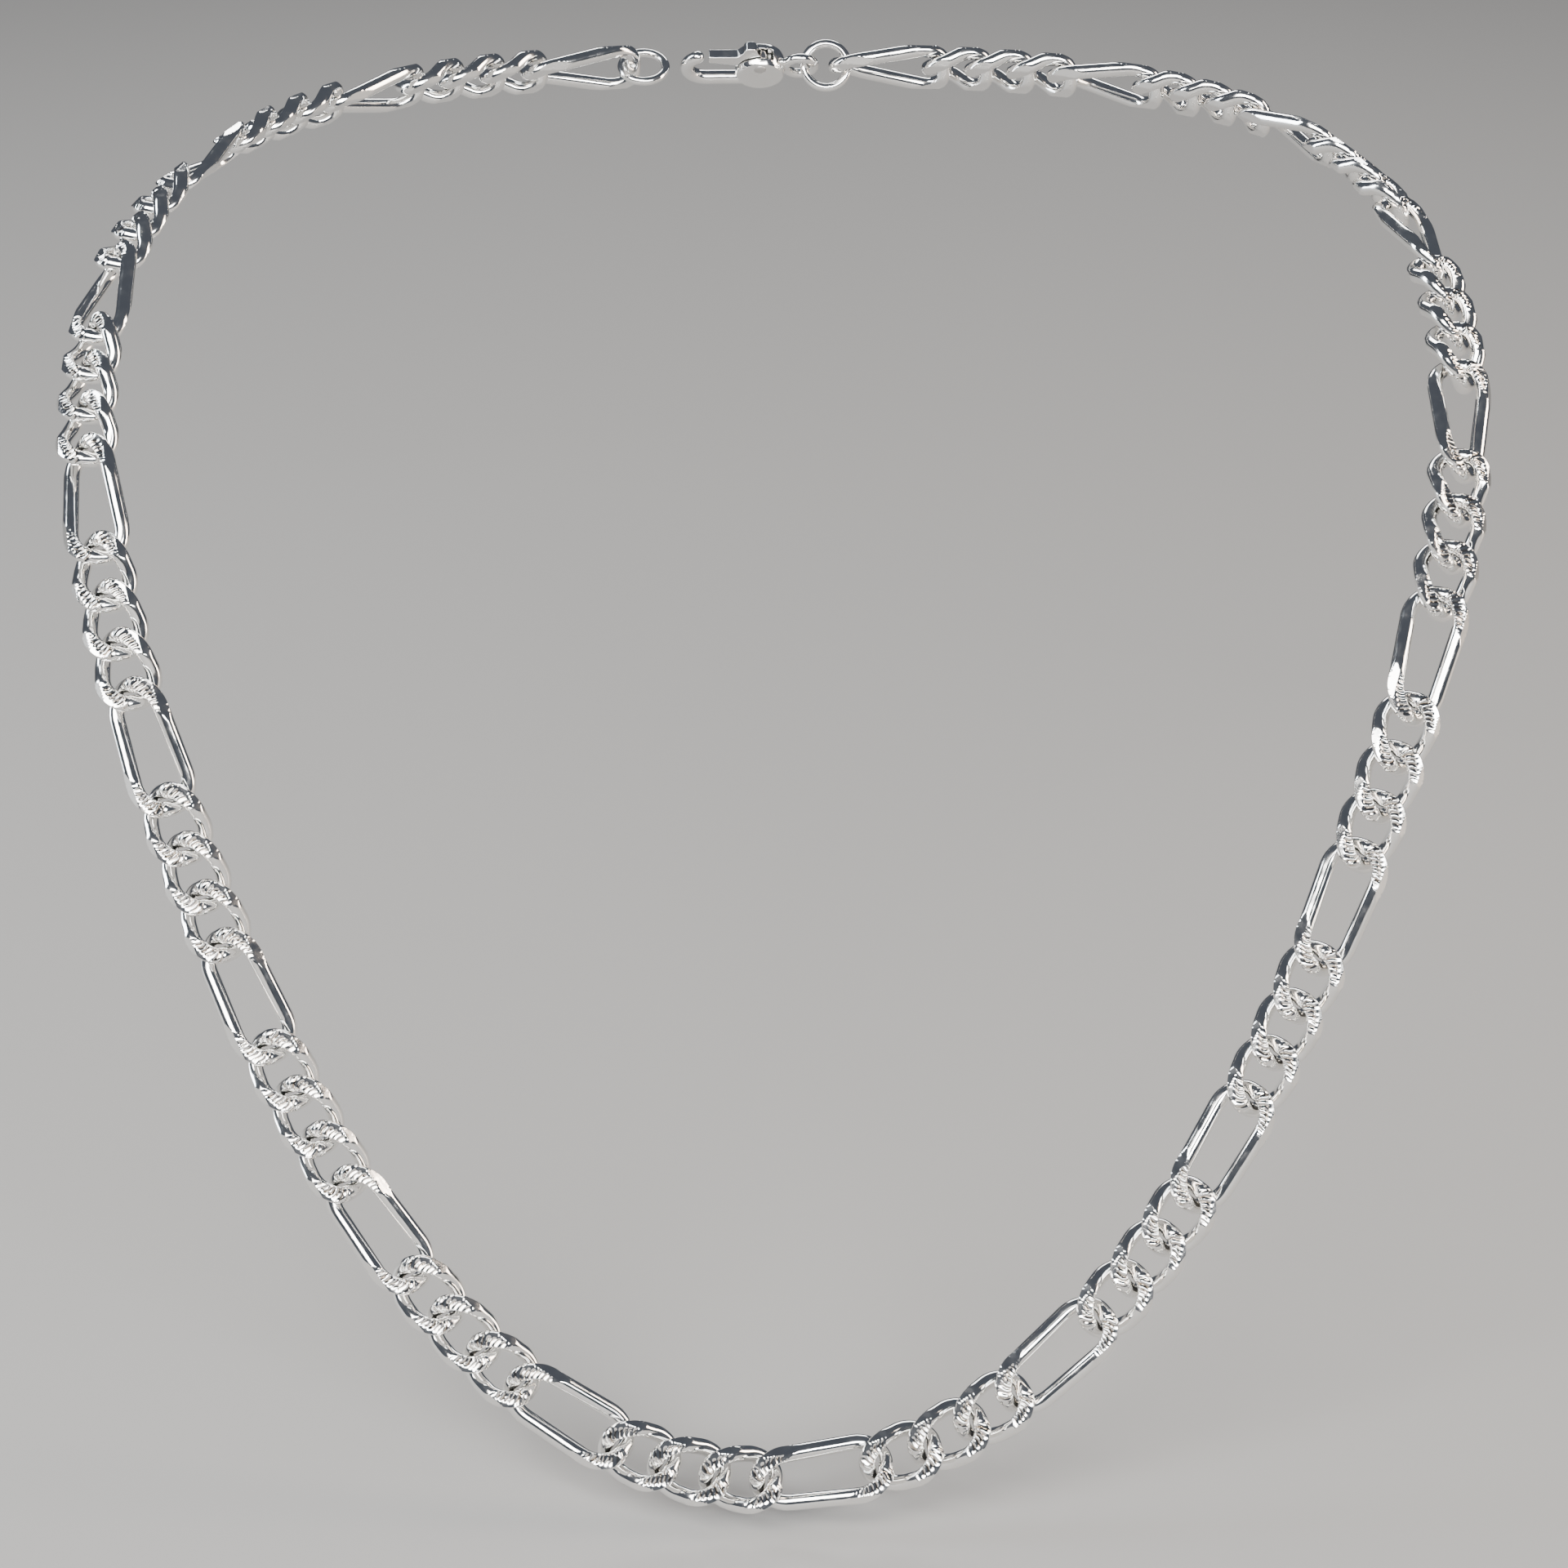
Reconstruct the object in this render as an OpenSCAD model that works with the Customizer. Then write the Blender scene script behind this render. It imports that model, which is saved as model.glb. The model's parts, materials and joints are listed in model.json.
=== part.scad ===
// Figaro chain necklace, worn: three short links to each long one, with a lobster clasp at the back.
// Frame: mm, X to the wearer's left, front of the neck towards -Y, Z up. The origin is the middle of
// the neckline, on the slope of the chest, at the height of the lowest point of the chain's curve.

/* [Chain] */
// Distance between the bearing points of a short link (mm)
short_pitch = 4.6; // [4:0.1:7]
// Distance between the bearing points of a long link (mm)
long_pitch = 9.9; // [8:0.1:14]
// Width of the chain over its side bars (mm)
chain_width = 6; // [5:0.1:9]
// Thickness left between the two diamond cut faces (mm)
cut_thickness = 2.5; // [2:0.1:3.2]
// How far the front long link sits to the side of the lowest point (mm)
front_offset = 4.3; // [-6:0.1:6]

/* [Wire] */
// Wire diameter of the links (mm)
wire_d = 1.5; // [1:0.05:2.2]
// Play between two wires that bear on each other (mm)
bearing_play = 0.1; // [0.05:0.01:0.3]
// Tilt of the wire where it turns round the end of a link (degrees)
end_tilt = 40; // [25:1:48]
// Half of the straight run of wire across a link's end (mm)
end_run = 0.3; // [0:0.05:1]
// Slope of a short link's side bar (degrees)
short_slope = 34; // [20:1:40]
// Half of the straight run of a short link's side bar (mm)
short_run = 0.4; // [0:0.1:1]
// Slope of a long link's side bar (degrees)
long_slope = 12; // [4:1:18]
// Half of the straight run of a long link's side bar (mm)
long_run = 3; // [2:0.1:4]
// Tilt of the bevels cut beside the flat faces (degrees)
bevel_tilt = 38; // [20:1:60]
// Distance of those bevels from the middle of the link (mm)
bevel_reach = 2.42; // [2.2:0.02:2.8]

/* [Drape] */
// Tightness of the curve over the chest (mm)
drape = 30.7; // [20:0.1:50]
// Lean of the chest away from upright (degrees)
chest_lean = 25.2; // [0:0.1:45]
// Length of chain on the chest, on each side (mm)
chest_run = 87; // [60:1:120]
// Distance from the neck's axis to the lowest point (mm)
front_reach = 70; // [50:1:120]
// Distance from the neck's axis to the back of the chain (mm)
back_reach = 45; // [30:1:90]
// Height of the back of the chain over the lowest point (mm)
back_rise = 98; // [70:1:140]
// How strongly the curve leaves the chest (mm)
shoulder_pull = 60; // [30:1:90]
// How strongly the curve runs into the back (mm)
back_pull = 60; // [30:1:90]
// Slope of the shoulder under the chain (degrees)
shoulder_slope = 55; // [30:1:70]
// Slope of the neck's back under the chain (degrees)
back_slope = 45; // [20:1:60]

/* [Clasp] */
// Wire diameter of the two jump rings (mm)
ring_wire = 0.9; // [0.6:0.05:1.2]
// Mean radius of the two jump rings (mm)
ring_r = 2.3; // [1.8:0.1:3]
// Thickness of the clasp body (mm)
clasp_t = 2.6; // [2:0.1:3.4]
// Wire diameter of the clasp's hook (mm)
hook_wire = 1.5; // [1.2:0.1:2]
// Mean radius of the hook's nose (mm)
hook_r = 2.1; // [1.8:0.1:3]
// Distance from the clasp's eye to the middle of its nose (mm)
clasp_reach = 9.75; // [8:0.05:13]
// Rivet diameter (mm)
rivet_d = 0.8; // [0.6:0.05:1.2]

/* [Output] */
// Node to draw
// Facets of a full circle in the preview
detail = 48; // [24:8:96]

/* [Hidden] */
$fn = detail;
silver = [0.86, 0.87, 0.89];
steel = [0.62, 0.64, 0.67];
groups = 9;
links = 4 * groups;
bar_y = (chain_width - wire_d) / 2;
bearing = (wire_d + bearing_play) / 2;
corner_run = 0.12;
lap = 0.02;
bezier_span = 146;

// ---- vectors
function unit(v) = v / norm(v);
function mix(a, b, w) = a * (1 - w) + b * w;
function smooth(a, b, x) = let (w = max(0, min(1, (x - a) / (b - a)))) w * w * (3 - 2 * w);
function on_side(v, side) = [v[0] * side, v[1], v[2]];

// ---- the curve that the chain hangs in, for the wearer's left half
function arc_sinh(x) = ln(x + sqrt(x * x + 1));
function chest_point(s) = let (rise = sqrt(drape * drape + s * s) - drape)
  [drape * arc_sinh(s / drape), -front_reach + rise * sin(chest_lean), rise * cos(chest_lean)];
function chest_tangent(s) = unit([drape, s * sin(chest_lean), s * cos(chest_lean)]);
leave = chest_point(chest_run);
pull_a = leave + shoulder_pull * chest_tangent(chest_run);
back_point = [0, back_reach, back_rise];
pull_b = back_point + [back_pull, 0, 0];
function neck_point(v) = pow(1 - v, 3) * leave + 3 * pow(1 - v, 2) * v * pull_a
  + 3 * (1 - v) * v * v * pull_b + pow(v, 3) * back_point;
function drape_point(u) = u <= chest_run ? chest_point(u) : neck_point((u - chest_run) / bezier_span);
function drape_tangent(u) = unit(drape_point(u + 0.05) - drape_point(max(u - 0.05, 0)));
function drape_normal(u) = let (
    t = drape_tangent(u),
    slope = mix(shoulder_slope, back_slope, smooth(130, 230, u)),
    chest = [0, -cos(chest_lean), sin(chest_lean)],
    level = unit([t[1], -t[0], 0]),
    n = mix(chest, cos(slope) * level + [0, 0, sin(slope)], smooth(10, 190, u)))
  unit(n - (n * t) * t);

// ---- bearing points, one chord of the pitch after another
function is_long(i) = i % 4 == 3;
function pitch_of(i) = is_long(i) ? long_pitch : short_pitch;
function reach_from(u, chord, lo, hi, n) = n == 0 ? (lo + hi) / 2
  : let (m = (lo + hi) / 2)
    norm(drape_point(m) - drape_point(u)) < chord ? reach_from(u, chord, m, hi, n - 1)
      : reach_from(u, chord, lo, m, n - 1);
function next_reach(u, chord) = reach_from(u, chord, u, u + 1.6 * chord, 34);
function walk(start) = [for (i = 0, u = start; i <= links; u = next_reach(u, pitch_of(i)), i = i + 1) u];
reach = [walk(long_pitch / 2 - front_offset), walk(long_pitch / 2 + front_offset)];
function side_sign(s) = s == 0 ? -1 : 1;
function joint_at(s, i) = on_side(drape_point(reach[s][i]), side_sign(s));
function frame_from(x, n, p) = let (
    ex = unit(x),
    ez = unit(n - (n * ex) * ex),
    ey = cross(ez, ex))
  [[ex[0], ey[0], ez[0], p[0]], [ex[1], ey[1], ez[1], p[1]], [ex[2], ey[2], ez[2], p[2]], [0, 0, 0, 1]];
function link_frame(s, i) = let (
    a = joint_at(s, i),
    b = joint_at(s, i + 1),
    n = on_side(drape_normal((reach[s][i] + reach[s][i + 1]) / 2), side_sign(s)))
  frame_from(b - a, n, (a + b) / 2);
front_frame = frame_from(joint_at(1, 0) - joint_at(0, 0), [0, -cos(chest_lean), sin(chest_lean)],
  (joint_at(1, 0) + joint_at(0, 0)) / 2);

// ---- a length of wire between two points: straight, lapped a little into what it joins, or on an arc
module wire_line(p, q) {
  t = unit(q - p);
  side = unit(cross(t, abs(t[2]) < 0.9 ? [0, 0, 1] : [1, 0, 0]));
  up = cross(t, side);
  a = p - lap * t;
  multmatrix([[side[0], up[0], t[0], a[0]], [side[1], up[1], t[1], a[1]], [side[2], up[2], t[2], a[2]],
      [0, 0, 0, 1]])
    cylinder(h = norm(q - p) + 2 * lap, d = wire_d - 0.01);
}

module wire_arc(p, t, q) {
  chord = q - p;
  n = unit(chord - (chord * t) * t);
  r = chord * chord / (2 * (n * chord));
  turn = 2 * atan2(n * chord, t * chord);
  c = p + r * n;
  z = cross(-n, t);
  multmatrix([[-n[0], t[0], z[0], c[0]], [-n[1], t[1], z[1], c[1]], [-n[2], t[2], z[2], c[2]], [0, 0, 0, 1]])
    rotate_extrude(angle = turn)
      translate([r, 0])
        circle(d = wire_d);
}

// ---- one quarter of a link: two arcs with a short straight between them, from the end to the side bar
module link_quarter(half, run, slope) {
  t0 = [0, cos(end_tilt), -sin(end_tilt)];
  t1 = [-cos(slope), 0, sin(slope)];
  p0 = [half, 0, 0] + end_run * t0;
  p1 = [run, bar_y, -run * tan(slope)];
  v = p1 - p0;
  k = 2 * (1 - t0 * t1);
  w = v * (t0 + t1) + 2 * corner_run;
  reach = (sqrt(w * w + k * (v * v - corner_run * corner_run)) - w) / k;
  q0 = p0 + reach * t0;
  q1 = p1 - reach * t1;
  tm = unit(q1 - q0);
  m0 = q0 + reach * tm;
  m1 = q1 - reach * tm;
  wire_arc(p0, t0, m0);
  wire_line(m0, m1);
  wire_arc(m1, tm, p1);
}

module link_wire(half, run, slope) {
  t0 = [0, cos(end_tilt), -sin(end_tilt)];
  p1 = [run, bar_y, -run * tan(slope)];
  for (turn = [0, 180])
    rotate([0, 0, turn]) {
      link_quarter(half, run, slope);
      rotate([0, 180, 0])
        link_quarter(half, run, slope);
      wire_line([half, 0, 0] - end_run * t0, [half, 0, 0] + end_run * t0);
      wire_line([-run, bar_y, run * tan(slope)], p1);
    }
}

// ---- the diamond cut: two flat faces and a bevel beside each high end of the side bars
module cut_space(half) {
  long_way = 2 * half + 8;
  intersection() {
    cube([long_way, 2 * chain_width, cut_thickness], center = true);
    rotate([bevel_tilt, 0, 0])
      cube([long_way, 30, 2 * bevel_reach], center = true);
    rotate([-bevel_tilt, 0, 0])
      cube([long_way, 30, 2 * bevel_reach], center = true);
  }
}

module link(pitch, run, slope) {
  half = pitch / 2 + bearing;
  intersection() {
    link_wire(half, run, slope);
    cut_space(half);
  }
}

module short_link() {
  link(short_pitch, short_run, short_slope);
}

module long_link() {
  link(long_pitch, long_run, long_slope);
}

// ---- clasp, drawn flat: the eye at the origin, the hook's nose along X, the lever on the Y side
clasp_base = [4.2, 0, 0];
pivot = [4.3, 1.45, 0];
slot_w = 1.2;
lever_t = 1.04;
eye_r = 1.5;
eye_wire = 1;
ring_at = bearing - (wire_d + ring_wire) / 2 - bearing_play + ring_r;
eye_at = ring_at + ring_r - (ring_wire + eye_wire) / 2 - bearing_play + eye_r;
eye_bearing = (ring_at + ring_r + eye_at - eye_r) / 2;

module jump_ring() {
  translate([ring_at, 0, 0])
    rotate([70, 0, 0])
      rotate_extrude()
        translate([ring_r, 0])
          circle(d = ring_wire);
}

module clasp_body_flat() {
  difference() {
    union() {
      rotate_extrude()
        translate([eye_r, 0])
          circle(d = eye_wire);
      intersection() {
        translate(clasp_base)
          sphere(r = 2.7);
        cube([20, 20, clasp_t], center = true);
      }
      translate([clasp_base[0], -hook_r, 0])
        rotate([0, 90, 0])
          cylinder(h = clasp_reach - clasp_base[0] + lap, d = hook_wire - 0.01);
      translate([clasp_reach, 0, 0])
        rotate([0, 0, -90])
          rotate_extrude(angle = 174)
            translate([hook_r, 0])
              circle(d = hook_wire);
    }
    translate([2.9, -0.7, -slot_w / 2])
      cube([6, 6, slot_w]);
    translate(pivot)
      cylinder(h = 2 * clasp_t, d = rivet_d, center = true);
  }
}

module lever_plate() {
  translate([0, 0, -lever_t / 2])
    linear_extrude(height = lever_t)
      children();
}

module clasp_lever_flat() {
  tip = clasp_reach - 0.12;
  difference() {
    union() {
      translate([pivot[0], pivot[1], -lever_t / 2])
        cylinder(h = lever_t, r = 0.95);
      lever_plate()
        polygon([[4.5, 0.56], [6.6, 1.0], [tip, 1.5], [tip, 2.6], [6.6, 2.55], [5.9, 3.5], [4.7, 3.5],
          [4.1, 2.35]]);
      translate([5.3, 3.4, -lever_t / 2])
        cylinder(h = lever_t, r = 0.7);
    }
    translate(pivot)
      cylinder(h = 2 * lever_t, d = rivet_d + 0.1, center = true);
  }
}

module clasp_rivet_flat() {
  translate(pivot)
    union() {
      cylinder(h = clasp_t, d = rivet_d, center = true);
      translate([0, 0, clasp_t / 2])
        cylinder(h = 0.2, d1 = 1.3, d2 = 0.9);
      translate([0, 0, -clasp_t / 2 - 0.2])
        cylinder(h = 0.2, d1 = 0.9, d2 = 1.3);
    }
}

module clasp_spring_flat() {
  translate([0, 0, -0.45])
    linear_extrude(height = 0.9)
      polygon([[3.2, -0.68], [5.0, -0.68], [6.35, 0.7], [6.26, 0.79], [4.94, -0.56], [3.2, -0.56]]);
}

// ---- pieces in place
right_end = joint_at(1, links);
left_end = joint_at(0, links);
clasp_frame = frame_from(left_end - right_end, on_side(drape_normal(reach[1][links]), 1), right_end);
end_frame = frame_from(right_end - left_end, on_side(drape_normal(reach[0][links]), -1), left_end);

module link_here(s, i) {
  multmatrix(link_frame(s, i))
    if (is_long(i)) long_link();
    else short_link();
}

module front_long_link() {
  color(silver)
    multmatrix(front_frame)
      long_link();
}

module short_one(s, g) {
  color(silver)
    link_here(s, 4 * g);
}

module short_pair(s, g) {
  color(silver) {
    link_here(s, 4 * g + 1);
    link_here(s, 4 * g + 2);
  }
}

module short_three(s, g) {
  color(silver)
    for (i = [0:2])
      link_here(s, 4 * g + i);
}

module long_one(s, g) {
  color(silver)
    link_here(s, 4 * g + 3);
}

module clasp_ring() {
  color(silver)
    multmatrix(clasp_frame)
      jump_ring();
}

module end_ring() {
  color(silver)
    multmatrix(end_frame)
      jump_ring();
}

module in_clasp() {
  multmatrix(clasp_frame)
    translate([eye_at, 0, 0])
      children();
}

module clasp_body() {
  color(silver)
    in_clasp()
      clasp_body_flat();
}

module clasp_lever() {
  color(silver)
    in_clasp()
      clasp_lever_flat();
}

module clasp_rivet() {
  color(steel)
    in_clasp()
      clasp_rivet_flat();
}

module clasp_spring() {
  color(steel)
    in_clasp()
      clasp_spring_flat();
}

// ---- nodes: side 0 is the left half seen from the front, side 1 the right half
sides = ["left", "right"];
function node_name(s, g, kind) = str(sides[s], "_", g + 1, "_", kind);

front_long_link();
for (s = [0, 1]) {
  for (g = [0:groups - 2]) {
    short_one(s, g);
    short_pair(s, g);
  }
  for (g = [0:groups - 1])
    long_one(s, g);
  short_three(s, groups - 1);
}
clasp_ring();
clasp_body();
clasp_lever();
clasp_rivet();
clasp_spring();
end_ring();
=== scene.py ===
import json
import math

import bmesh
import bpy
import numpy as np
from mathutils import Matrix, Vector


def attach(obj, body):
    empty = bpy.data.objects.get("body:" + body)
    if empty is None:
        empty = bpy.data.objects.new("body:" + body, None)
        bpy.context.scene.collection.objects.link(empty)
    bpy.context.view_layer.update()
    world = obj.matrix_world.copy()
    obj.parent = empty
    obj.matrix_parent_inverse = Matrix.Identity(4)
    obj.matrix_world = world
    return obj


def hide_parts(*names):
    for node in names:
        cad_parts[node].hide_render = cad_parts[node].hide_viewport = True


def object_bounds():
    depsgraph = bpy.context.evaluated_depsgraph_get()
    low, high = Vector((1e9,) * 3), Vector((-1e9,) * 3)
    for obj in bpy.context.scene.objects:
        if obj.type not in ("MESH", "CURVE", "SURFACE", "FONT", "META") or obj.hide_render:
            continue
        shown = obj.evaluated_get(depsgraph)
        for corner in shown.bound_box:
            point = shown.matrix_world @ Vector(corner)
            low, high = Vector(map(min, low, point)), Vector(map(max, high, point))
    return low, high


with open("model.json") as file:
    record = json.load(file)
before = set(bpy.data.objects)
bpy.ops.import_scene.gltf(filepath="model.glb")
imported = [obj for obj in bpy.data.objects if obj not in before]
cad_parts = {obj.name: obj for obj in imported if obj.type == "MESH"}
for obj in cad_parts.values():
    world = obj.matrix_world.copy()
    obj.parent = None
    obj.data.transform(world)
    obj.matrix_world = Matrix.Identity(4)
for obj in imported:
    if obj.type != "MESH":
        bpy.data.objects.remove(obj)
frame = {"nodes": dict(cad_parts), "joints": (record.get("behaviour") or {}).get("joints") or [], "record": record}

CAD_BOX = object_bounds()
MM = 0.001

# ---- sizes, in mm and degrees, as in the CAD model
# A kind of link: the distance between its bearing points, half its straight run, and its bars' slope.
SHORT = dict(pitch=4.6, run=0.4, slope=34.0)
LONG = dict(pitch=9.9, run=3.0, slope=12.0)
WIDTH, WIRE, PLAY = 6.0, 1.5, 0.1
END_TILT, END_RUN, CORNER_RUN = 40.0, 0.3, 0.12
CUT_HEIGHT, BEVEL_TILT, BEVEL_REACH = 1.25, 38.0, 2.40
RING_WIRE, RING_R = 0.9, 2.3
EYE_AT = 4.55  # from the first jump ring's hinge to the clasp's eye
FACE_Z, LEVER_Z, SPRING_Z = 1.3, 0.515, 0.445  # half the clasp parts' thicknesses
RIVET_X, RIVET_Y = 4.3, 1.45

# ---- sizes of the visible meshes, in mm
INSIDE = 0.004  # how far they stay inside the CAD surface
RIB_PITCH, RIB_DEPTH = 0.44, 0.14
RIBBED_SHORT, RIBBED_LONG = 3.7, 4.4  # how far the ribs run along the wire from a link's end
FINE, COARSE, AROUND = 0.045, 0.16, 34  # steps along the wire, and points round it
DENSE = 3000  # points of a link's middle line before it is thinned


def unit(v):
    return v / np.linalg.norm(v)


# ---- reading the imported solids
def solids(node):
    """Each separate solid of a CAD node as (points in mm, triangles)."""
    bm = bmesh.new()
    bm.from_mesh(frame["nodes"][node].data)
    bmesh.ops.remove_doubles(bm, verts=bm.verts, dist=1e-7)
    bmesh.ops.triangulate(bm, faces=bm.faces)
    bm.verts.ensure_lookup_table()
    bm.verts.index_update()
    group = {}
    for start in bm.verts:
        if start.index in group:
            continue
        group[start.index] = start.index
        stack = [start]
        while stack:
            v = stack.pop()
            for e in v.link_edges:
                o = e.other_vert(v)
                if o.index not in group:
                    group[o.index] = start.index
                    stack.append(o)
    points = np.array([v.co for v in bm.verts]) / MM
    tris = np.array([[v.index for v in f.verts] for f in bm.faces])
    owner = np.array([group[t[0]] for t in tris])
    bm.free()
    return [(points, tris[owner == g]) for g in dict.fromkeys(owner)]


def middle_and_axes(points, tris):
    """A solid's centre of mass and its principal axes, longest extent first."""
    a, b, c = points[tris[:, 0]], points[tris[:, 1]], points[tris[:, 2]]
    v = np.einsum("ij,ij->i", a, np.cross(b, c)) / 6
    total = v.sum()
    centre = ((a + b + c) / 4 * v[:, None]).sum(0) / total
    a, b, c = a - centre, b - centre, c - centre
    v = np.einsum("ij,ij->i", a, np.cross(b, c)) / 6
    s = a + b + c
    spread = sum(np.einsum("i,ij,ik->jk", v, q, q) for q in (a, b, c, s)) / 20
    values, vectors = np.linalg.eigh(spread / total)
    return centre, vectors[:, ::-1].T


def link_frame(points, tris):
    """A link's 4x4 frame in mm: x along the link, z away from the neck."""
    centre, (x, y, z) = middle_and_axes(points, tris)
    away = unit(np.array([centre[0], centre[1], 0.0])) + [0, 0, 0.8]
    if z @ away < 0:
        z = -z
    m = np.eye(4)
    m[:3, 0], m[:3, 1], m[:3, 2], m[:3, 3] = x, np.cross(z, x), z, centre
    return m


# ---- a link's wire
def arc(p, t, q, n):
    """n points on the circle that leaves p along t and reaches q."""
    chord = q - p
    side = unit(chord - (chord @ t) * t)
    r = chord @ chord / (2 * (side @ chord))
    turn = 2 * math.atan2(side @ chord, t @ chord)
    a = np.linspace(0, turn, n)[:, None]
    return p + r * side - r * np.cos(a) * side + r * np.sin(a) * t


def centreline(pitch, run, slope):
    """The closed middle line of a link's wire, anticlockwise from its front end."""
    half, side_y = pitch / 2 + (WIRE + PLAY) / 2, (WIDTH - WIRE) / 2
    tilt, lean = math.radians(END_TILT), math.radians(slope)
    t0 = np.array([0, math.cos(tilt), -math.sin(tilt)])
    t1 = np.array([-math.cos(lean), 0, math.sin(lean)])
    start = np.array([half, 0, 0])
    p0 = start + END_RUN * t0
    p1 = np.array([run, side_y, -run * math.tan(lean)])
    v = p1 - p0
    k = 2 * (1 - t0 @ t1)
    w = v @ (t0 + t1) + 2 * CORNER_RUN
    reach = (math.sqrt(w * w + k * (v @ v - CORNER_RUN**2)) - w) / k
    q0, q1 = p0 + reach * t0, p1 - reach * t1
    tm = unit(q1 - q0)
    m0, m1 = q0 + reach * tm, q1 - reach * tm
    bends = arc(p0, t0, m0, 60), arc(m1, tm, p1, 60)
    quarter = np.concatenate([start[None], *bends, [[0, side_y, 0]]])
    half_way = np.concatenate([quarter, (quarter * [-1, 1, -1])[::-1][1:]])
    return np.concatenate([half_way, (half_way * [-1, -1, 1])[1:-1]])


def resample(line, n):
    """n points at even steps along a closed line."""
    loop = np.concatenate([line, line[:1]])
    s = np.concatenate([[0], np.cumsum(np.linalg.norm(np.diff(loop, axis=0), axis=1))])
    at = np.linspace(0, s[-1], n, endpoint=False)
    return np.stack([np.interp(at, s, loop[:, i]) for i in range(3)], 1), s[-1]


def blur(values, sigma):
    """A closed sequence blurred over sigma steps."""
    n = len(values)
    f = np.fft.fftfreq(n)
    gain = np.exp(-2 * (math.pi * f * sigma) ** 2)
    shape = (n,) + (1,) * (values.ndim - 1)
    return np.fft.ifft(np.fft.fft(values, axis=0) * gain.reshape(shape), axis=0).real


def stations(dense, length, last):
    """Places along a middle line, closer where the ribs are, and the directions there.

    The ribs are on the stretch before each end of the link, as far as last.
    """
    step = length / DENSE
    tangent = np.roll(dense, -1, 0) - np.roll(dense, 1, 0)
    before = (length / 2 - np.arange(DENSE) * step) % (length / 2)
    fine = blur(((before > 0.3) & (before < last + 0.1)).astype(float), 0.1 / step)
    sums = np.concatenate([[0], np.cumsum(step * (fine / FINE + (1 - fine) / COARSE))])
    count = int(round(sums[-1]))
    at = np.interp(np.arange(count) * sums[-1] / count, sums, np.arange(DENSE + 1))
    low, share = np.floor(at).astype(int) % DENSE, (at % 1)[:, None]
    c = dense[low] * (1 - share) + dense[(low + 1) % DENSE] * share
    t = tangent[low] * (1 - share) + tangent[(low + 1) % DENSE] * share
    t /= np.linalg.norm(t, axis=1)[:, None]
    up = np.array([0, 0, 1.0]) - t[:, 2:3] * t
    up /= np.linalg.norm(up, axis=1)[:, None]
    return at, c, np.cross(t, up), up


def flats():
    """The planes the diamond cutter leaves on a link: (normal, height)."""
    b = math.radians(BEVEL_TILT)
    found = [(np.array([0, 0, k]), CUT_HEIGHT) for k in (1.0, -1.0)]
    for j in (1, -1):
        for k in (1, -1):
            found.append((np.array([0, j * math.sin(b), k * math.cos(b)]), BEVEL_REACH))
    return found


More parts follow.
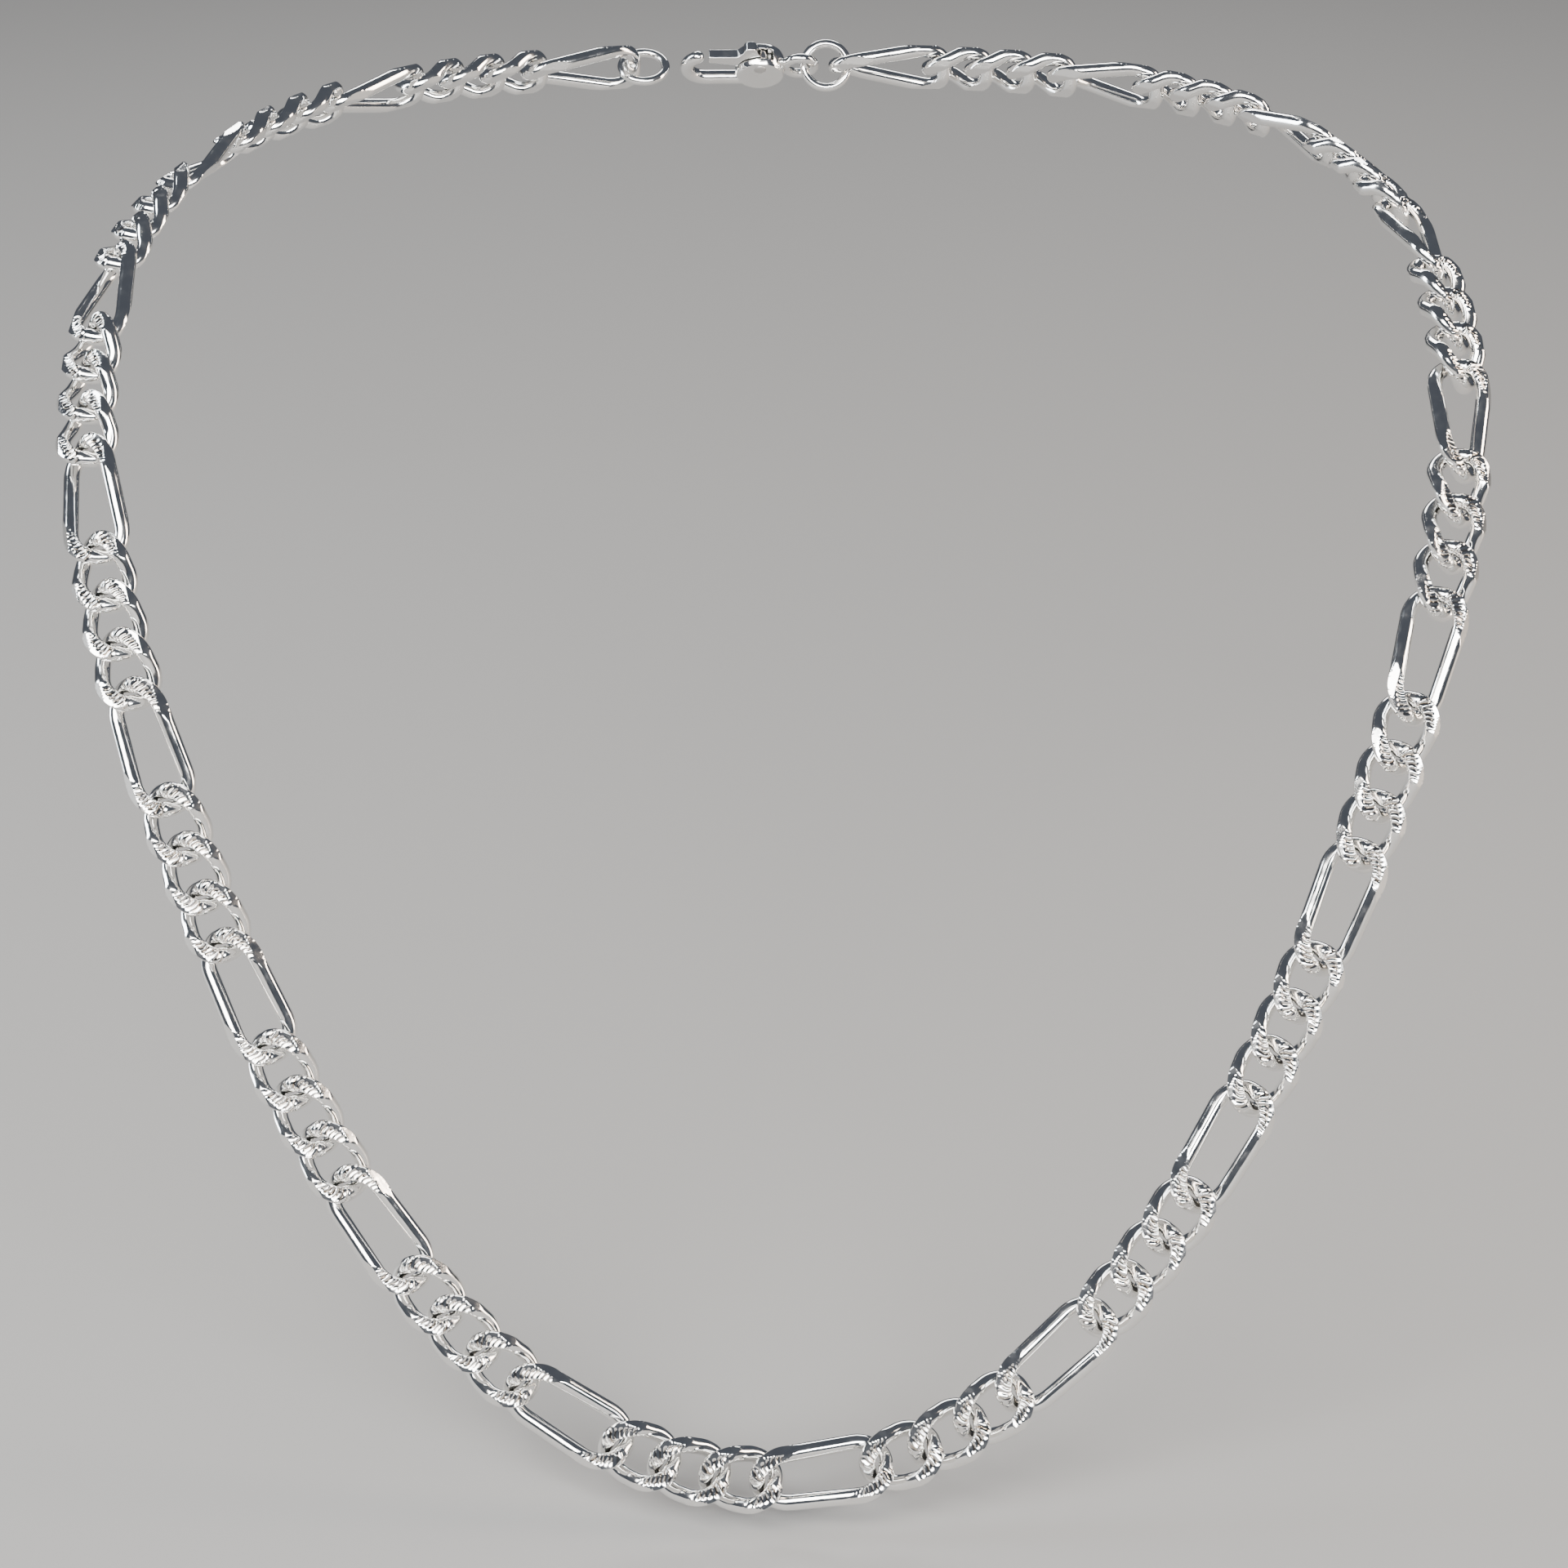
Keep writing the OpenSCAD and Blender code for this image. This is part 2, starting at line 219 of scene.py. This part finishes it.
def link_mesh(kind, rng):
    """A link's points (mm), quads, and how deep each point lies in a cut."""
    dense, length = resample(centreline(**kind), DENSE)
    step = length / DENSE
    last = RIBBED_SHORT if kind is SHORT else RIBBED_LONG
    at, c, out, up = stations(blur(dense, 0.16 / step), length, last)
    count = len(at)
    round_r = WIRE / 2 - INSIDE

    def left_at(angle):
        """The radius that the flats leave at an angle from the outer side, and which of them."""
        r, which = np.full(angle.shape, round_r), np.zeros(angle.shape, int)
        for n, (normal, height) in enumerate(flats(), 1):
            slope = np.cos(angle) * (out @ normal)[:, None] + np.sin(angle) * (up @ normal)[:, None]
            reach = (height - c @ normal)[:, None] / np.maximum(slope, 1e-6)
            cut = np.where(slope > 1e-6, reach, 9.0)
            which, r = np.where(cut < r, n, which), np.minimum(r, cut)
        return r, which

    # Grid angles move onto the edges of the flats, so that these stay crisp.
    pitch = 2 * math.pi / AROUND
    grid = np.tile(np.arange(AROUND) * pitch, (count, 1))
    angles = np.linspace(0, 2 * math.pi, 1441)
    _, which = left_at(np.tile(angles, (count, 1)))
    for i, k in zip(*np.nonzero(np.diff(which, axis=1))):
        angle = (angles[k] + angles[k + 1]) / 2
        j = int(round(angle / pitch))
        grid[i, j % AROUND] = angle - (2 * math.pi if j == AROUND else 0)
    r, _ = left_at(grid)

    # Ribs: skewed V cuts over each high stretch, running out on its inner edge by the bevel.
    back = ((length / 2 - at * step) % (length / 2))[:, None]
    first = (at * step < length / 2)[:, None]
    cuts = np.zeros_like(r)
    for half in (first, ~first):
        edges = np.cumsum(np.concatenate([[-1.5], RIB_PITCH * rng.uniform(0.78, 1.25, 22)]))
        depths = RIB_DEPTH * rng.uniform(0.7, 1.1, len(edges))
        skew = np.interp(back, edges, np.tan(np.radians(rng.uniform(12, 34, len(edges)))))
        along = back + skew * (grid - math.pi / 2) * round_r
        cell = np.clip(np.searchsorted(edges, along) - 1, 0, len(edges) - 2)
        part = np.clip((along - edges[cell]) / (edges[cell + 1] - edges[cell]), 0, 1)
        valley = 1 - np.abs(2 * part - 1)
        gone = np.clip((back - 0.7) / (last - 0.7), 0, 1)
        outer = np.radians(14 + 78 * gone**0.8)
        inner = np.radians(176 - 26 * gone)
        window = np.clip((grid - outer) / 0.3, 0, 1) * np.clip((inner - grid) / 0.4, 0, 1)
        window *= np.clip((back - 0.45) / 0.5, 0, 1) * np.clip((last - back) / 0.7, 0, 1)
        cuts = np.where(half, depths[cell] * valley * window, cuts)
    r = r - cuts
    # The wire is a little uneven from drawing and tumbling.
    wave = sum(
        rng.uniform(-1, 1) * np.cos(2 * math.pi * k * at / DENSE + rng.uniform(0, 6.3))
        for k in (2, 3, 5, 7)
    )
    r = r - 0.002 - 0.005 * np.abs(wave)[:, None]
    ways = np.cos(grid)[..., None] * out[:, None] + np.sin(grid)[..., None] * up[:, None]
    points = c[:, None] + r[..., None] * ways
    i, j = np.meshgrid(np.arange(count), np.arange(AROUND), indexing="ij")
    row, next_row, nj = i * AROUND, (i + 1) % count * AROUND, (j + 1) % AROUND
    quads = np.stack([row + j, next_row + j, next_row + nj, row + nj], -1).reshape(-1, 4)
    return points.reshape(-1, 3), quads, (cuts / RIB_DEPTH).ravel()


def new_piece(name, points, faces, at=None, sharp=28, **layers):
    """A mesh object from points in mm, in a 4x4 frame given in mm, with its point layers."""
    points = np.asarray(points, float)
    world = points if at is None else points @ at[:3, :3].T + at[:3, 3]
    me = bpy.data.meshes.new(name)
    me.from_pydata((world * MM).tolist(), [], [list(map(int, f)) for f in faces])
    own = me.attributes.new("own", "FLOAT_VECTOR", "POINT")
    own.data.foreach_set("vector", points.astype(np.float32).ravel())
    for layer, values in layers.items():
        data = me.attributes.new(layer, "FLOAT", "POINT").data
        data.foreach_set("value", values.astype(np.float32))
    me.shade_smooth()
    me.set_sharp_from_angle(angle=math.radians(sharp))
    me.update()
    ob = bpy.data.objects.new(name, me)
    bpy.context.collection.objects.link(ob)
    return ob


# ---- the clasp's shapes, in mm
def tube(line, radii, normal=(0, 0, 1), around=28, closed=False):
    """A round wire along a flat line of points, with domed ends where it isn't closed."""
    line, normal = np.asarray(line, float), np.array(normal, float)
    radii = np.asarray(radii, float) * np.ones(len(line))
    t = np.roll(line, -1, 0) - np.roll(line, 1, 0) if closed else np.gradient(line, axis=0)
    t /= np.linalg.norm(t, axis=1)[:, None]
    if not closed:
        dome = np.radians([75, 60, 45, 30, 15])[:, None]
        back = dome[::-1]
        line = np.concatenate([
            line[0] - np.sin(dome) * radii[0] * t[0],
            line,
            line[-1] + np.sin(back) * radii[-1] * t[-1],
        ])
        radii = np.concatenate([
            radii[0] * np.cos(dome[:, 0]), radii, radii[-1] * np.cos(back[:, 0]),
        ])
        t = np.concatenate([np.tile(t[0], (5, 1)), t, np.tile(t[-1], (5, 1))])
    n = len(line)
    side = np.cross(t, normal)
    a = np.linspace(0, 2 * math.pi, around, endpoint=False)[None, :, None]
    points = line[:, None] + radii[:, None, None] * (np.cos(a) * side[:, None] + np.sin(a) * normal)
    i, j = np.meshgrid(np.arange(n if closed else n - 1), np.arange(around), indexing="ij")
    row, next_row, nj = i * around, (i + 1) % n * around, (j + 1) % around
    faces = np.stack([row + j, row + nj, next_row + nj, next_row + j], -1).reshape(-1, 4).tolist()
    if not closed:
        faces += [list(range(around))[::-1], list(range((n - 1) * around, n * around))]
    return points.reshape(-1, 3), faces


def plate(outline, low, high):
    """A flat plate with a given outline."""
    n = len(outline)
    points = [(x, y, z) for z in (low, high) for x, y in outline]
    faces = [list(range(n))[::-1], list(range(n, 2 * n))]
    faces += [[i, (i + 1) % n, n + (i + 1) % n, n + i] for i in range(n)]
    return points, faces


def all_round(n):
    """n angles at even steps round a circle."""
    return np.linspace(0, 2 * math.pi, n, endpoint=False)


def disc(x, y, r, low, high):
    """A flat round plate."""
    return plate([(x + r * math.cos(v), y + r * math.sin(v)) for v in all_round(48)], low, high)


def ball(centre, r, *cuts):
    """A ball cut by planes, each (point, normal) with the normal's side removed."""
    bm = bmesh.new()
    bmesh.ops.create_uvsphere(bm, u_segments=48, v_segments=32, radius=r)
    bmesh.ops.translate(bm, verts=bm.verts, vec=centre)
    for point, normal in cuts:
        geom = bm.verts[:] + bm.edges[:] + bm.faces[:]
        made = bmesh.ops.bisect_plane(
            bm, geom=geom, plane_co=point, plane_no=normal, clear_outer=True
        )
        edges = [e for e in made["geom_cut"] if isinstance(e, bmesh.types.BMEdge)]
        bmesh.ops.holes_fill(bm, edges=edges, sides=0)
    bm.verts.index_update()
    points = [tuple(v.co) for v in bm.verts]
    faces = [[v.index for v in f.verts] for f in bm.faces]
    bm.free()
    return points, faces


def cast(shapes, grain, passes):
    """Closed shapes run together as one cast metal piece with softened edges: (points, faces)."""
    points, faces = [], []
    for p, f in shapes:
        faces += [[k + len(points) for k in face] for face in f]
        points += [tuple(q) for q in p]
    me = bpy.data.meshes.new("cast")
    me.from_pydata(points, [], faces)
    ob = bpy.data.objects.new("cast", me)
    bpy.context.collection.objects.link(ob)
    remesh = ob.modifiers.new("remesh", "REMESH")
    remesh.mode, remesh.voxel_size = "VOXEL", grain
    smooth = ob.modifiers.new("smooth", "SMOOTH")
    smooth.factor, smooth.iterations = 0.5, passes
    rounded = ob.evaluated_get(bpy.context.evaluated_depsgraph_get())
    done = rounded.to_mesh()
    points = [tuple(v.co) for v in done.vertices]
    faces = [list(f.vertices) for f in done.polygons]
    rounded.to_mesh_clear()
    bpy.data.objects.remove(ob)
    bpy.data.meshes.remove(me)
    return points, faces


# ---- materials
# The third tone is painted shade with a painted warm brown reflection, laid into the rib grooves.
SILVER_TONE, WARM_TONE, GROOVE_SHADE_TONE = (0.93, 0.925, 0.91), (0.80, 0.76, 0.70), (0.34, 0.26, 0.18)


def silver(name, rough=0.09, tone=SILVER_TONE, scratch=0.04):
    """Polished silver: fine wipe marks and uneven polish, with painted shade and a painted warm reflection in the
    rib cuts.
    """
    m = bpy.data.materials.new(name)
    m.use_nodes = True
    t = m.node_tree
    t.nodes.clear()

    def node(kind, **values):
        n = t.nodes.new(kind)
        for k, v in values.items():
            setattr(n, k, v)
        return n

    def noise(scale, detail, where):
        """A noise in the piece's own coordinates, in mm."""
        n = node("ShaderNodeTexNoise")
        n.inputs["Scale"].default_value = scale
        n.inputs["Detail"].default_value = detail
        t.links.new(where, n.inputs["Vector"])
        return n

    def spread(value, low, high, least, most):
        """A value between low and high, mapped to least and most."""
        n = node("ShaderNodeMapRange")
        n.inputs["From Min"].default_value = low
        n.inputs["From Max"].default_value = high
        n.inputs["To Min"].default_value = least
        n.inputs["To Max"].default_value = most
        t.links.new(value, n.inputs["Value"])
        return n

    out = node("ShaderNodeOutputMaterial")
    p = node("ShaderNodeBsdfPrincipled")
    p.inputs["Metallic"].default_value = 1.0
    p.inputs["IOR"].default_value = 1.5
    t.links.new(p.outputs[0], out.inputs[0])
    where = node("ShaderNodeAttribute", attribute_name="own")
    cloud = noise(0.9, 4, where.outputs["Vector"])
    polish = spread(cloud.outputs["Fac"], 0.35, 0.7, rough * 0.6, rough * 1.9)
    t.links.new(polish.outputs[0], p.inputs["Roughness"])
    # Painted shade and a painted warm brown reflection in the rib grooves, strongest where the cut is deepest.
    cut = node("ShaderNodeAttribute", attribute_name="cut")
    painted_groove_mix = node("ShaderNodeMix", data_type="RGBA")
    painted_groove_mix.inputs["A"].default_value = (*tone, 1)
    painted_groove_mix.inputs["B"].default_value = (*GROOVE_SHADE_TONE, 1)
    groove_shade = spread(cut.outputs["Fac"], 0.25, 1.0, 0.0, 1.0)
    t.links.new(groove_shade.outputs[0], painted_groove_mix.inputs["Factor"])
    haze = noise(0.32, 3, where.outputs["Vector"])
    shade = spread(haze.outputs["Fac"], 0.4, 0.75, 0.0, 0.22)
    warm = node("ShaderNodeMix", data_type="RGBA")
    warm.inputs["B"].default_value = (*WARM_TONE, 1)
    t.links.new(shade.outputs[0], warm.inputs["Factor"])
    t.links.new(painted_groove_mix.outputs["Result"], warm.inputs["A"])
    t.links.new(warm.outputs["Result"], p.inputs["Base Color"])
    stretch = node("ShaderNodeMapping")
    stretch.inputs["Scale"].default_value = (0.12, 1.0, 1.0)
    t.links.new(where.outputs["Vector"], stretch.inputs["Vector"])
    lines = noise(2.6, 2, stretch.outputs[0])
    bump = node("ShaderNodeBump")
    bump.inputs["Strength"].default_value = scratch
    bump.inputs["Distance"].default_value = 0.00005
    t.links.new(lines.outputs["Fac"], bump.inputs["Height"])
    t.links.new(bump.outputs[0], p.inputs["Normal"])
    return m


LINK_SILVER = silver("link_silver")
RING_SILVER = silver("ring_silver", rough=0.12)
CLASP_SILVER = silver("clasp_silver", rough=0.1, scratch=0.06)
STEEL = silver("spring_steel", rough=0.24, tone=(0.62, 0.61, 0.60), scratch=0.1)


BODY_OF = {n: b for b, names in frame["record"]["behaviour"]["bodies"].items() for n in names}


def dress(ob, material, slot, body, *nodes):
    """Gives a piece its material and body, and puts it in the place of its CAD nodes."""
    ob.data.materials.clear()
    ob.data.materials.append(material)
    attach(ob, body)
    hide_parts(*nodes)


# ---- the links
rng = np.random.default_rng(7)
for node in BODY_OF:
    if "link" not in node and "short" not in node:
        continue
    kind = LONG if "long" in node else SHORT
    found = [link_frame(*s) for s in solids(node)]
    for n, m in enumerate(found):
        points, quads, depth = link_mesh(kind, rng)
        name = node if len(found) == 1 else f"{node}_{n + 1}"
        # The cut layer holds the rib grooves' depth, which the silver uses to place its painted groove shade and
        # painted reflection.
        ob = new_piece(name + "_wire", points, quads, m, cut=depth)
        dress(ob, LINK_SILVER, "links", BODY_OF[node], node)

# ---- the two jump rings, each closed from a round wire, with its seam at an angle
SEAM_AT = 1.2
for node in ("clasp_ring", "end_ring"):
    centre, axes = middle_and_axes(*solids(node)[0])
    m = np.eye(4)
    m[:3, 0], m[:3, 1], m[:3, 2], m[:3, 3] = axes[0], np.cross(axes[2], axes[0]), axes[2], centre
    a = all_round(144)
    seam = np.abs((a - SEAM_AT + math.pi) % (2 * math.pi) - math.pi)
    notch = 0.06 * (seam < 0.02) + 0.012 * np.exp(-((seam / 0.08) ** 2))
    circle = np.stack([RING_R * np.cos(a), RING_R * np.sin(a), 0 * a], 1)
    points, faces = tube(circle, RING_WIRE / 2 - INSIDE - notch, closed=True)
    ob = new_piece(node + "_wire", points, faces, m)
    dress(ob, RING_SILVER, "rings", BODY_OF[node], node)

# ---- the clasp, drawn from its eye's centre: x towards the hook, z along the rivet
pose = {j["name"]: j for j in frame["joints"]}
start = np.array(pose["clasp_ring_hinge"]["pos_m"]) / MM
x = unit(np.array(pose["clasp_hinge"]["pos_m"]) / MM - start)
z = unit(np.array(pose["clasp_lever_hinge"]["axis"], float))
CLASP = np.eye(4)
CLASP[:3, 0], CLASP[:3, 1], CLASP[:3, 2], CLASP[:3, 3] = x, np.cross(z, x), z, start + EYE_AT * x
a = all_round(72)
eye = tube(np.stack([1.5 * np.cos(a), 1.5 * np.sin(a), 0 * a], 1), 0.5, closed=True)
# The body round the lever's slot: its belly, its eye end and its two cheeks.
spot, body_r = (4.2, 0, 0), 2.68
top, bottom = ((0, 0, FACE_Z), (0, 0, 1)), ((0, 0, -FACE_Z), (0, 0, -1))
shapes = [
    eye,
    ball(spot, body_r, top, bottom, ((0, -0.7, 0), (0, 1, 0))),
    ball(spot, body_r, top, bottom, ((2.9, 0, 0), (1, 0, 0))),
    ball(spot, body_r, top, ((0, 0, 0.6), (0, 0, -1))),
    ball(spot, body_r, bottom, ((0, 0, -0.6), (0, 0, 1))),
]
a = np.radians(np.linspace(-90, 62, 40))
claw = np.stack([9.75 + 2.1 * np.cos(a), 2.1 * np.sin(a), 0 * a], 1)
bar = np.stack([np.linspace(4.4, 9.6, 24), np.full(24, -2.1), np.zeros(24)], 1)
thick = np.concatenate([np.full(40, 0.74), np.linspace(0.74, 0.66, 24)])
shapes.append(tube(np.concatenate([bar, claw]), thick))
points, faces = cast(shapes, 0.075, 4)
ob = new_piece("clasp_body_cast", points, faces, CLASP, sharp=60)
dress(ob, CLASP_SILVER, "clasp", BODY_OF["clasp_body"], "clasp_body")

arm = [
    (4.5, 0.6), (6.6, 1.03), (9.6, 1.53), (9.6, 2.57),
    (6.6, 2.52), (5.9, 3.47), (4.7, 3.47), (4.12, 2.35),
]
shapes = [
    plate(arm, -LEVER_Z, LEVER_Z),
    disc(RIVET_X, RIVET_Y, 0.94, -LEVER_Z, LEVER_Z),
    disc(5.3, 3.4, 0.69, -LEVER_Z, LEVER_Z),
]
points, faces = cast(shapes, 0.06, 4)
ob = new_piece("clasp_lever_cast", points, faces, CLASP, sharp=60)
dress(ob, CLASP_SILVER, "clasp", BODY_OF["clasp_lever"], "clasp_lever")

# The rivet: a pin between two domed heads, turned about its middle line.
sides = 40
head_r, dome_h, pin_r, pin_z = 0.64, 0.19, 0.4, 1.29
dome = np.radians([0, 15, 30, 45, 60, 75])
profile = [(head_r * math.cos(v), -FACE_Z - dome_h * math.sin(v)) for v in dome[::-1]]
profile += [(pin_r, -pin_z), (pin_r, pin_z)]
profile += [(head_r * math.cos(v), FACE_Z + dome_h * math.sin(v)) for v in dome]
points = [
    (RIVET_X + r * math.cos(v), RIVET_Y + r * math.sin(v), h)
    for r, h in profile for v in all_round(sides)
]
faces = []
for row in range(0, (len(profile) - 1) * sides, sides):
    for j in range(sides):
        k = (j + 1) % sides
        faces.append([row + j, row + k, row + sides + k, row + sides + j])
faces += [list(range(sides))[::-1], list(range(len(points) - sides, len(points)))]
ob = new_piece("clasp_rivet_pin", points, faces, CLASP, sharp=40)
dress(ob, STEEL, "rivet", BODY_OF["clasp_rivet"], "clasp_rivet")

leaf = [
    (3.2, -0.68), (4.9, -0.68), (5.0, -0.665), (5.08, -0.6), (6.35, 0.7),
    (6.26, 0.79), (5.02, -0.48), (4.94, -0.54), (4.86, -0.56), (3.2, -0.56),
]
points, faces = plate(leaf, -SPRING_Z, SPRING_Z)
ob = new_piece("clasp_spring_leaf", points, faces, CLASP, sharp=40)
dress(ob, STEEL, "spring", BODY_OF["clasp_spring"], "clasp_spring")

# ---- stage
low, high = (np.array(v) for v in CAD_BOX)
MIDDLE = Vector((low + high) / 2)


def plain(name, colour, rough):
    """A plain matt material."""
    m = bpy.data.materials.new(name)
    m.use_nodes = True
    p = m.node_tree.nodes["Principled BSDF"]
    p.inputs["Base Color"].default_value = (*colour, 1)
    p.inputs["Roughness"].default_value = rough
    return m


bpy.ops.mesh.primitive_plane_add(size=6, location=(0, 0, low[2] - 0.002))
floor = bpy.context.object
floor.name = "floor"
floor.data.materials.append(plain("floor", (0.27, 0.266, 0.26), 0.7))


def aim(ob, at):
    """Turns a lamp or camera to look at a point."""
    ob.rotation_euler = (at - ob.location).to_track_quat("-Z", "Y").to_euler()


def lamp(name, spot, size, power, colour=(1, 1, 1)):
    """A soft rectangular lamp, placed from and aimed at the necklace's middle."""
    data = bpy.data.lights.new(name, "AREA")
    data.shape = "RECTANGLE"
    data.size, data.size_y = size
    data.energy = power
    data.color = colour
    ob = bpy.data.objects.new(name, data)
    bpy.context.collection.objects.link(ob)
    ob.location = Vector(spot) + MIDDLE
    aim(ob, MIDDLE)


lamp("key", (-0.24, -0.42, 0.42), (0.50, 0.34), 8.5, (1.0, 0.98, 0.95))
lamp("front", (0.18, -0.60, 0.34), (0.46, 0.20), 6.0)
lamp("right", (0.55, -0.05, 0.16), (0.16, 0.50), 4.0, (1.0, 0.84, 0.70))
lamp("left", (-0.55, 0.05, 0.20), (0.14, 0.46), 3.0, (0.88, 0.94, 1.0))
lamp("back", (0.0, 0.55, 0.40), (0.5, 0.12), 2.0)

world = bpy.data.worlds.new("studio")
bpy.context.scene.world = world
world.use_nodes = True
sky = world.node_tree.nodes["Background"].inputs
sky["Color"].default_value = (0.50, 0.56, 0.68, 1)
sky["Strength"].default_value = 0.16

# ---- camera, at the photograph's angle
ELEVATION, DISTANCE = math.radians(24.8), 0.3183
data = bpy.data.cameras.new("camera")
data.lens = 87.2
data.sensor_width = 36
data.clip_start = 0.01
camera = bpy.data.objects.new("camera", data)
bpy.context.collection.objects.link(camera)
target = Vector((0.0009, low[1] + 0.0121, low[2] + 0.0661))
camera.location = target + DISTANCE * Vector((0, -math.cos(ELEVATION), math.sin(ELEVATION)))
aim(camera, target)
bpy.context.scene.camera = camera
